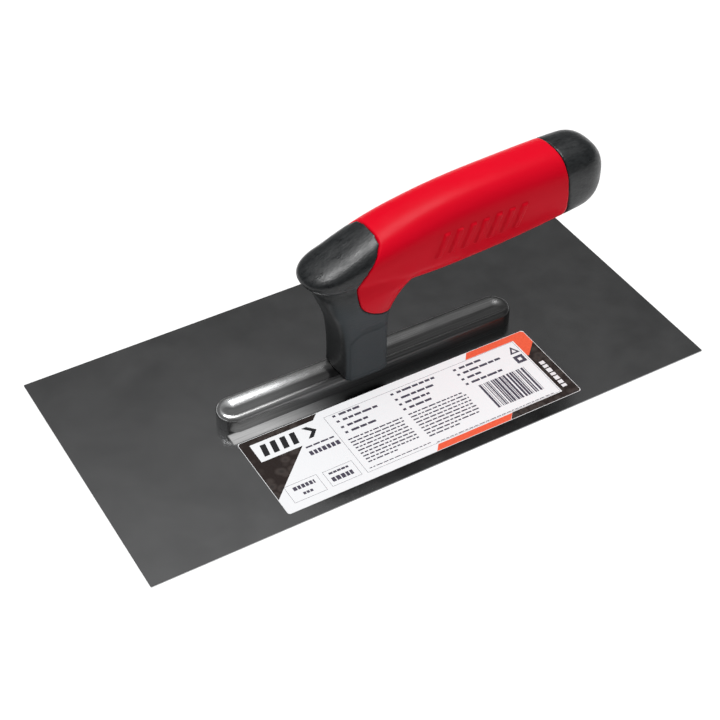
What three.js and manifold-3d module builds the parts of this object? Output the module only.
// Finishing trowel: a flat stainless blade, a pressed steel rib welded along its middle, and an
// L-shaped handle that stands on the rib and reaches back over the blade.
//
// Millimetres, +Z up. The origin is the middle of the blade's underside, +X runs along the
// blade towards the free end of the grip, and +Y runs across the blade.
import * as THREE from 'three';
import { mergeVertices } from 'three/addons/utils/BufferGeometryUtils.js';
import Module from 'manifold-3d';

const wasm = await Module();
wasm.setup();

// ---------------------------------------------------------------- driving dimensions

const GAP = 0.3; // between pieces that are cut to fit each other
const SEAT = 0.05; // under pieces that simply lie or are welded on a flat face
const PARTING = 0.3; // open line between the handle's coloured mouldings

const BLADE = { length: 270, width: 130, thickness: 0.7 };

const RIB = {
  length: 147, // over the round ends
  width: 15.5,
  height: 7.9, // blade face to ridge
  wall: 1.2,
  shoulder: 2.25, // radius along the top edges
  sink: 0.55, // depth of the shallow groove pressed along the top
};

const LABEL = { x: 0.6, y: -36.4, length: 144.6, width: 45.2, corner: 1.2, thickness: 0.12 };

// The grip is a row of superellipses along X. A station gives the height of its top and bottom
// lines and its half width.
const GRIP = {
  tip: -32.6,
  end: 113.2,
  noseDome: 13, // length of the rounding at the nose
  endDome: 14, // and at the free end
  bluntness: 2.35,
  roundness: 2.7,
  sides: 32,
  rings: 32,
  stations: [
    { x: -34, top: 65.6, bottom: 59, half: 11.7 },
    { x: -20, top: 69.8, bottom: 57.2, half: 13.0 },
    { x: -6, top: 75.5, bottom: 54.7, half: 14.2 },
    { x: 8, top: 80.2, bottom: 51.2, half: 14.9 },
    { x: 25, top: 83.9, bottom: 49.7, half: 14.9 },
    { x: 42, top: 86.1, bottom: 49.9, half: 14.9 },
    { x: 65, top: 87.4, bottom: 51.3, half: 14.9 },
    { x: 92, top: 88, bottom: 54.6, half: 14.9 },
    { x: 114, top: 87.6, bottom: 57.8, half: 14.3 },
  ],
};

// The post is a stack of rounded rectangles from the foot on the rib up into the grip. A station
// gives its front and rear faces, its half width and how square its corners are.
const POST = {
  foot: 6.9,
  top: 64,
  sides: 32,
  layers: 14,
  stations: [
    { z: 6.9, front: -17.0, rear: 5.1, half: 10.0, squareness: 6 },
    { z: 20, front: -17.0, rear: 5.1, half: 10.0, squareness: 6 },
    { z: 32, front: -18.2, rear: 5.4, half: 10.6, squareness: 5 },
    { z: 40, front: -20.6, rear: 6.8, half: 12.0, squareness: 4 },
    { z: 46, front: -23.2, rear: 9.8, half: 13.3, squareness: 3.5 },
    { z: 51, front: -25.2, rear: 14.8, half: 14.1, squareness: 3 },
    { z: 56, front: -26.6, rear: 22.0, half: 14.4, squareness: 2.8 },
    { z: 64, front: -24.0, rear: 25.0, half: 12.4, squareness: 2.6 },
  ],
};

const SKIN = 2.6; // thickness of the outer mouldings over the core

// The line where the front shell meets the sleeve, seen from the side as (x, z) and carried
// straight across the handle: down the crown, forward over the flank, and back under the tongue
// that the sleeve sends down the post.
const FRONT_PARTING = [
  [0.1, 96],
  [0.1, 79],
  [-2.6, 73.6],
  [-8.6, 66.8],
  [-12.7, 61],
  [-13.0, 55],
  [-10.4, 47.8],
  [-3.2, 42.2],
  [6, 40.3],
  [30, 40.3],
];

// The straight line where the sleeve meets the end cap, from above the grip to below it.
const REAR_PARTING = [
  [88.8, 96],
  [91.8, 40],
];

const FIXING_X = -6; // the bolt stands in the middle of the foot
const BOLT = { shank: 2.5, head: 5.2, headHeight: 2.6, top: 35, chamfer: 0.6 };
const BOLT_HOLE = 2.85; // radius of the hole in the rib and the bore in the core
const WASHER = { inner: 2.7, outer: 5, thickness: 1 };
const SPRING_WASHER = { inner: 2.7, outer: 4.4, thickness: 1.3, slit: 0.8 };
const NUT = { acrossFlats: 8, height: 4 };
const POCKET = { floor: 26, width: 10.6, height: 10 }; // slot in the core for nut and washers

// The core ends in a button that the end cap is moulded round.
const TAIL = { shoulder: 96, neck: 4.5, head: 8, neckLength: 5, headLength: 4 };

const COLOURS = {
  stainless: [0x55575a, 0.32, 1],
  polished: [0xb9bcc0, 0.18, 1],
  zinc: [0xa7acb0, 0.35, 1],
  shell: [0x23272a, 0.55, 0],
  red: [0xd0142a, 0.4, 0],
  core: [0x3a3d40, 0.6, 0],
  paper: [0xf2f2f0, 0.5, 0],
};

// ---------------------------------------------------------------- solids

/** Turns a closed three.js geometry into a manifold solid. */
function solid(geometry) {
  geometry.deleteAttribute('normal');
  geometry.deleteAttribute('uv');
  const merged = mergeVertices(geometry);
  const mesh = new wasm.Mesh({
    numProp: 3,
    vertProperties: merged.attributes.position.array,
    triVerts: new Uint32Array(merged.index.array),
  });
  return new wasm.Manifold(mesh);
}

/** Turns a manifold solid back into a three.js geometry. */
function geometryOf(manifold) {
  const mesh = manifold.getMesh();
  const geometry = new THREE.BufferGeometry();
  geometry.setAttribute('position', new THREE.BufferAttribute(mesh.vertProperties, 3));
  geometry.setIndex(new THREE.BufferAttribute(mesh.triVerts, 1));
  geometry.computeVertexNormals();
  return geometry;
}

/** Carries a side-view shape (x, z) across the handle from y0 to y1. */
function across(shape, y0, y1) {
  const geometry = new THREE.ExtrudeGeometry(shape, { depth: y1 - y0, bevelEnabled: false });
  geometry.rotateX(Math.PI / 2);
  geometry.translate(0, y1, 0);
  return solid(geometry);
}

/** Raises a plan shape (x, y) from height z0 to z1. */
function raised(shape, z0, z1, curveSegments = 6) {
  const options = { depth: z1 - z0, bevelEnabled: false, curveSegments };
  const geometry = new THREE.ExtrudeGeometry(shape, options);
  geometry.translate(0, 0, z0);
  return geometry;
}

/** Turns a profile of (radius, height) points about an upright axis at x. */
function turned(points, x, sides) {
  const profile = points.map(([radius, height]) => new THREE.Vector2(radius, height));
  const geometry = new THREE.LatheGeometry(profile, sides);
  geometry.rotateX(Math.PI / 2);
  geometry.translate(x, 0, 0);
  return geometry;
}

/** An upright round bar from z0 to z1. */
function bar(radius, z0, z1, x, sides) {
  return solid(turned([[0, z0], [radius, z0], [radius, z1], [0, z1]], x, sides));
}

/** A point on a unit superellipse: exponent 2 is a circle, a larger one is squarer. */
function superellipse(angle, exponent) {
  const bend = (value) => {
    const size = Math.abs(value);
    return size < 1e-6 ? 0 : Math.sign(value) * size ** (2 / exponent);
  };
  return [bend(Math.cos(angle)), bend(Math.sin(angle))];
}

/** Gives a smooth curve through one value of a row of stations, to be read anywhere on it. */
function through(stations, axis, value) {
  const at = stations.map((station) => station[axis]);
  const level = stations.map((station) => station[value]);
  const last = at.length - 1;
  const slopes = level.map((_, i) => {
    const before = Math.max(i - 1, 0);
    const after = Math.min(i + 1, last);
    return (level[after] - level[before]) / (at[after] - at[before]);
  });
  return (where) => {
    const next = at.findIndex((place, i) => i > 0 && place >= where);
    const i = next < 0 ? last - 1 : next - 1;
    const span = at[i + 1] - at[i];
    const t = THREE.MathUtils.clamp((where - at[i]) / span, 0, 1);
    const rise = level[i + 1] - level[i];
    const leave = slopes[i] * span;
    const arrive = slopes[i + 1] * span;
    const cubic = leave + arrive - 2 * rise;
    return level[i] + t * (leave + t * (3 * rise - 2 * leave - arrive + t * cubic));
  };
}

// ---------------------------------------------------------------- handle bodies

/** Place along X and swelling (0 to 1) of the grip's ring at v, which runs from tip to end. */
function gripRing(v, tip, end) {
  const share = 0.26; // part of the rings that each dome gets
  if (v < share) {
    const [back, out] = superellipse((v / share) * (Math.PI / 2), GRIP.bluntness);
    return [tip + GRIP.noseDome * (1 - back), out];
  }
  if (v > 1 - share) {
    const [back, out] = superellipse(((1 - v) / share) * (Math.PI / 2), GRIP.bluntness);
    return [end - GRIP.endDome * (1 - back), out];
  }
  const middle = (v - share) / (1 - 2 * share);
  return [THREE.MathUtils.lerp(tip + GRIP.noseDome, end - GRIP.endDome, middle), 1];
}

/** The grip's outer shape drawn in on all sides by inset: a sphere laid out ring by ring. */
function gripBody(inset, sides, rings) {
  const top = through(GRIP.stations, 'x', 'top');
  const bottom = through(GRIP.stations, 'x', 'bottom');
  const half = through(GRIP.stations, 'x', 'half');
  const geometry = new THREE.SphereGeometry(1, sides, rings);
  const { position, uv } = geometry.attributes;
  for (let i = 0; i < position.count; i++) {
    const angle = -uv.getX(i) * Math.PI * 2;
    const [x, swell] = gripRing(1 - uv.getY(i), GRIP.tip + inset, GRIP.end - inset);
    const [side, up] = superellipse(angle, GRIP.roundness);
    const middle = (top(x) + bottom(x)) / 2;
    const tall = (top(x) - bottom(x)) / 2 - inset;
    const wide = half(x) - inset;
    position.setXYZ(i, x, side * wide * swell, middle + up * tall * swell);
  }
  return solid(geometry);
}

/** The post's outer shape drawn in on its sides by inset: a cylinder laid out layer by layer. */
function postBody(inset, sides, layers) {
  const front = through(POST.stations, 'z', 'front');
  const rear = through(POST.stations, 'z', 'rear');
  const half = through(POST.stations, 'z', 'half');
  const squareness = through(POST.stations, 'z', 'squareness');
  const geometry = new THREE.CylinderGeometry(1, 1, 1, sides, layers);
  geometry.rotateX(Math.PI / 2);
  const position = geometry.attributes.position;
  for (let i = 0; i < position.count; i++) {
    const reach = Math.hypot(position.getX(i), position.getY(i));
    const angle = Math.atan2(position.getY(i), position.getX(i));
    const z = THREE.MathUtils.lerp(POST.foot, POST.top, position.getZ(i) + 0.5);
    const [ahead, side] = superellipse(angle, squareness(z));
    const long = (rear(z) - front(z)) / 2 - inset;
    const x = (rear(z) + front(z)) / 2 + ahead * long * reach;
    position.setXYZ(i, x, side * (half(z) - inset) * reach, z);
  }
  return solid(geometry);
}

/** Grip and post joined into one L-shaped body, drawn in by inset. */
function handleBody(inset, coarseness) {
  const grip = gripBody(inset, GRIP.sides / coarseness, GRIP.rings / coarseness);
  return grip.add(postBody(inset, POST.sides / coarseness, POST.layers / coarseness));
}

// ---------------------------------------------------------------- cutters

const points2 = (list) => list.map(([x, y]) => new THREE.Vector2(x, y));

/** Smooth run of points along the front parting line. */
function frontPartingLine() {
  return new THREE.SplineCurve(points2(FRONT_PARTING));
}

/** Everything ahead of the front parting line. */
function aheadOfSleeve() {
  const line = frontPartingLine().getPoints(48);
  const beyond = points2([[30, -10], [-60, -10], [-60, 96]]);
  return across(new THREE.Shape([...line, ...beyond]), -30, 30);
}

/** Everything behind the rear parting line. */
function behindSleeve() {
  const beyond = points2([[140, 40], [140, 96]]);
  return across(new THREE.Shape([...points2(REAR_PARTING), ...beyond]), -30, 30);
}

/** A thin blade of the given width on a parting line, which opens the line between mouldings. */
function openLine(curve, samples) {
  const left = [];
  const right = [];
  for (let i = 0; i <= samples; i++) {
    const point = curve.getPoint(i / samples);
    const tangent = curve.getTangent(i / samples);
    const offset = new THREE.Vector2(-tangent.y, tangent.x).multiplyScalar(PARTING / 2);
    left.push(point.clone().add(offset));
    right.unshift(point.clone().sub(offset));
  }
  return across(new THREE.Shape([...left, ...right]), -30, 30);
}

/** Half cross-section of the rib drawn in by inset, from the groove out and down to depth. */
function ribHalfProfile(inset, depth) {
  const crest = BLADE.thickness + SEAT + RIB.height - inset;
  const wide = RIB.width / 2 - inset;
  const radius = RIB.shoulder - inset;
  const flat = wide - radius;
  const profile = [];
  for (let i = 0; i <= 4; i++) {
    const share = i / 4;
    const sunk = (RIB.sink * (1 + Math.cos(Math.PI * share))) / 2;
    profile.push([flat * share, crest - sunk]);
  }
  for (let i = 1; i <= 4; i++) {
    const turn = (i / 4) * (Math.PI / 2);
    profile.push([flat + radius * Math.sin(turn), crest - radius * (1 - Math.cos(turn))]);
  }
  profile.push([wide, depth]);
  return profile;
}

/** A straight bar of the rib's section with round ends, drawn in by inset, down to depth. */
function ribBody(inset, depth) {
  const half = ribHalfProfile(inset, depth);
  const mirrored = half.slice(1).map(([y, z]) => [-y, z]).reverse();
  const section = new THREE.Shape(points2([...mirrored, ...half]));
  const straight = RIB.length - RIB.width;
  const geometry = new THREE.ExtrudeGeometry(section, { depth: straight, bevelEnabled: false });
  geometry.rotateX(Math.PI / 2);
  geometry.rotateZ(Math.PI / 2);
  geometry.translate(-straight / 2, 0, 0);
  const end = [...half, [0, depth]].reverse();
  const tips = [-straight / 2, straight / 2].map((x) => solid(turned(end, x, 32)));
  return solid(geometry).add(tips[0]).add(tips[1]);
}

// ---------------------------------------------------------------- pieces

/** Flat sheet with square corners. */
function makeBlade() {
  const geometry = new THREE.BoxGeometry(BLADE.length, BLADE.width, BLADE.thickness);
  return geometry.translate(0, 0, BLADE.thickness / 2);
}

/** Pressed channel, open underneath, with a hole in its top for the bolt. */
function makeRib() {
  const floor = BLADE.thickness + SEAT;
  const hollow = ribBody(RIB.wall, floor - 2);
  const hole = bar(BOLT_HOLE, 0, 12, FIXING_X, 24);
  return geometryOf(ribBody(0, floor).subtract(hollow).subtract(hole));
}

/** Thin printed sticker on the blade beside the rib. */
function makeLabel() {
  const { length, width, corner } = LABEL;
  const x = length / 2;
  const y = width / 2;
  const shape = new THREE.Shape();
  shape.moveTo(-x + corner, -y);
  shape.lineTo(x - corner, -y);
  shape.absarc(x - corner, -y + corner, corner, -Math.PI / 2, 0, false);
  shape.absarc(x - corner, y - corner, corner, 0, Math.PI / 2, false);
  shape.absarc(-x + corner, y - corner, corner, Math.PI / 2, Math.PI, false);
  shape.absarc(-x + corner, -y + corner, corner, Math.PI, Math.PI * 1.5, false);
  const floor = BLADE.thickness + 0.01;
  return raised(shape, floor, floor + LABEL.thickness, 4).translate(LABEL.x, LABEL.y, 0);
}

/** Heights of the bolt's stack, from the head in the rib up to the nut in the core. */
const HEAD_TOP = BLADE.thickness + RIB.height - RIB.wall - RIB.sink;
const WASHER_Z = POCKET.floor + SEAT;
const SPRING_Z = WASHER_Z + WASHER.thickness + SEAT;
const NUT_Z = SPRING_Z + SPRING_WASHER.thickness + SEAT;

/** Round-headed bolt whose head is trapped inside the rib. */
function makeBolt() {
  const foot = HEAD_TOP - BOLT.headHeight;
  const profile = [
    [0, foot],
    [BOLT.head - BOLT.chamfer, foot],
    [BOLT.head, foot + BOLT.chamfer],
    [BOLT.head, HEAD_TOP],
    [BOLT.shank, HEAD_TOP],
    [BOLT.shank, BOLT.top - BOLT.chamfer],
    [BOLT.shank - BOLT.chamfer, BOLT.top],
    [0, BOLT.top],
  ];
  return turned(profile, FIXING_X, 28);
}

/** Flat ring between two radii. */
function ring(inner, outer, z0, z1, sides) {
  const profile = [[inner, z0], [outer, z0], [outer, z1], [inner, z1], [inner, z0]];
  return turned(profile, FIXING_X, sides);
}

/** Flat washer on the floor of the core's pocket. */
function makeWasher() {
  return ring(WASHER.inner, WASHER.outer, WASHER_Z, WASHER_Z + WASHER.thickness, 32);
}

/** Split spring washer. */
function makeSpringWasher() {
  const { inner, outer, thickness, slit } = SPRING_WASHER;
  const whole = solid(ring(inner, outer, SPRING_Z, SPRING_Z + thickness, 32));
  const cut = new THREE.BoxGeometry(slit, outer * 2, thickness * 3);
  cut.rotateX(0.35);
  cut.translate(FIXING_X, -outer, SPRING_Z + thickness / 2);
  return geometryOf(whole.subtract(solid(cut)));
}

/** Hexagon nut with its corners turned off at both faces. */
function makeNut() {
  const corner = NUT.acrossFlats / Math.sqrt(3);
  const prism = new THREE.CylinderGeometry(corner, corner, NUT.height, 6);
  prism.rotateX(Math.PI / 2);
  prism.translate(FIXING_X, 0, NUT_Z + NUT.height / 2);
  const flat = NUT.acrossFlats / 2;
  const top = NUT_Z + NUT.height;
  const bevel = (corner - flat) * 0.6;
  const turnedOff = solid(turned(
    [[0, NUT_Z], [flat, NUT_Z], [corner, NUT_Z + bevel], [corner, top - bevel], [flat, top], [0, top]],
    FIXING_X,
    32,
  ));
  const bore = bar(BOLT.shank + 0.15, NUT_Z - 1, top + 1, FIXING_X, 24);
  return geometryOf(solid(prism).intersect(turnedOff).subtract(bore));
}

/** Everything behind a given place on the grip. */
function behind(x) {
  return solid(new THREE.BoxGeometry(80, 60, 120).translate(x + 40, 0, 60));
}

/** The core's button, lying along the grip, grown on all sides by extra. */
function tailButton(extra) {
  const knobStart = TAIL.shoulder + TAIL.neckLength;
  const knobEnd = knobStart + TAIL.headLength;
  const profile = [
    [0, TAIL.shoulder - 2],
    [TAIL.neck + extra, TAIL.shoulder - 2],
    [TAIL.neck + extra, knobStart - extra],
    [TAIL.head + extra, knobStart - extra],
    [TAIL.head + extra, knobEnd - 1],
    [TAIL.head - 1 + extra, knobEnd + extra],
    [0, knobEnd + extra],
  ];
  const lathe = turned(profile, 0, 20);
  const top = through(GRIP.stations, 'x', 'top')(knobStart);
  const bottom = through(GRIP.stations, 'x', 'bottom')(knobStart);
  lathe.rotateY(Math.PI / 2);
  lathe.translate(0, 0, (top + bottom) / 2);
  return solid(lathe);
}

/** Stiff L-shaped core: bolt bore, side pocket for the nut, and a button for the end cap. */
function makeCore() {
  const pocket = new THREE.BoxGeometry(40, POCKET.width, POCKET.height);
  pocket.translate(FIXING_X - POCKET.width / 2 + 20, 0, POCKET.floor + POCKET.height / 2);
  return handleBody(SKIN + GAP, 2)
    .subtract(behind(TAIL.shoulder))
    .add(tailButton(0))
    .subtract(ribBody(-GAP, 0))
    .subtract(bar(BOLT_HOLE, 0, BOLT.top + 1, FIXING_X, 24))
    .subtract(solid(pocket));
}

const trowel = new THREE.Group();

/** Adds one named piece to the trowel. */
function add(name, geometry, [color, roughness, metalness]) {
  const material = new THREE.MeshStandardMaterial({ color, roughness, metalness });
  const mesh = new THREE.Mesh(geometry, material);
  mesh.name = name;
  trowel.add(mesh);
}

/** Adds the core and the three outer mouldings, which share one skin cut at two lines. */
function addHandle() {
  const hollow = handleBody(SKIN, 2).subtract(behind(TAIL.shoulder + GAP));
  const skin = handleBody(0, 1)
    .subtract(hollow)
    .subtract(tailButton(GAP))
    .subtract(ribBody(-GAP, 0))
    .subtract(openLine(frontPartingLine(), 48))
    .subtract(openLine(new THREE.LineCurve(...points2(REAR_PARTING)), 1));
  const front = aheadOfSleeve();
  const rear = behindSleeve();
  add('handle_core', geometryOf(makeCore()), COLOURS.core);
  add('front_shell', geometryOf(skin.intersect(front)), COLOURS.shell);
  add('grip_sleeve', geometryOf(skin.subtract(front).subtract(rear)), COLOURS.red);
  add('end_cap', geometryOf(skin.intersect(rear)), COLOURS.shell);
}

add('blade', makeBlade(), COLOURS.stainless);
add('mounting_rib', makeRib(), COLOURS.polished);
add('label', makeLabel(), COLOURS.paper);
add('fixing_bolt', makeBolt(), COLOURS.zinc);
add('plain_washer', makeWasher(), COLOURS.zinc);
add('spring_washer', makeSpringWasher(), COLOURS.zinc);
add('fixing_nut', makeNut(), COLOURS.zinc);
addHandle();

export default trowel;
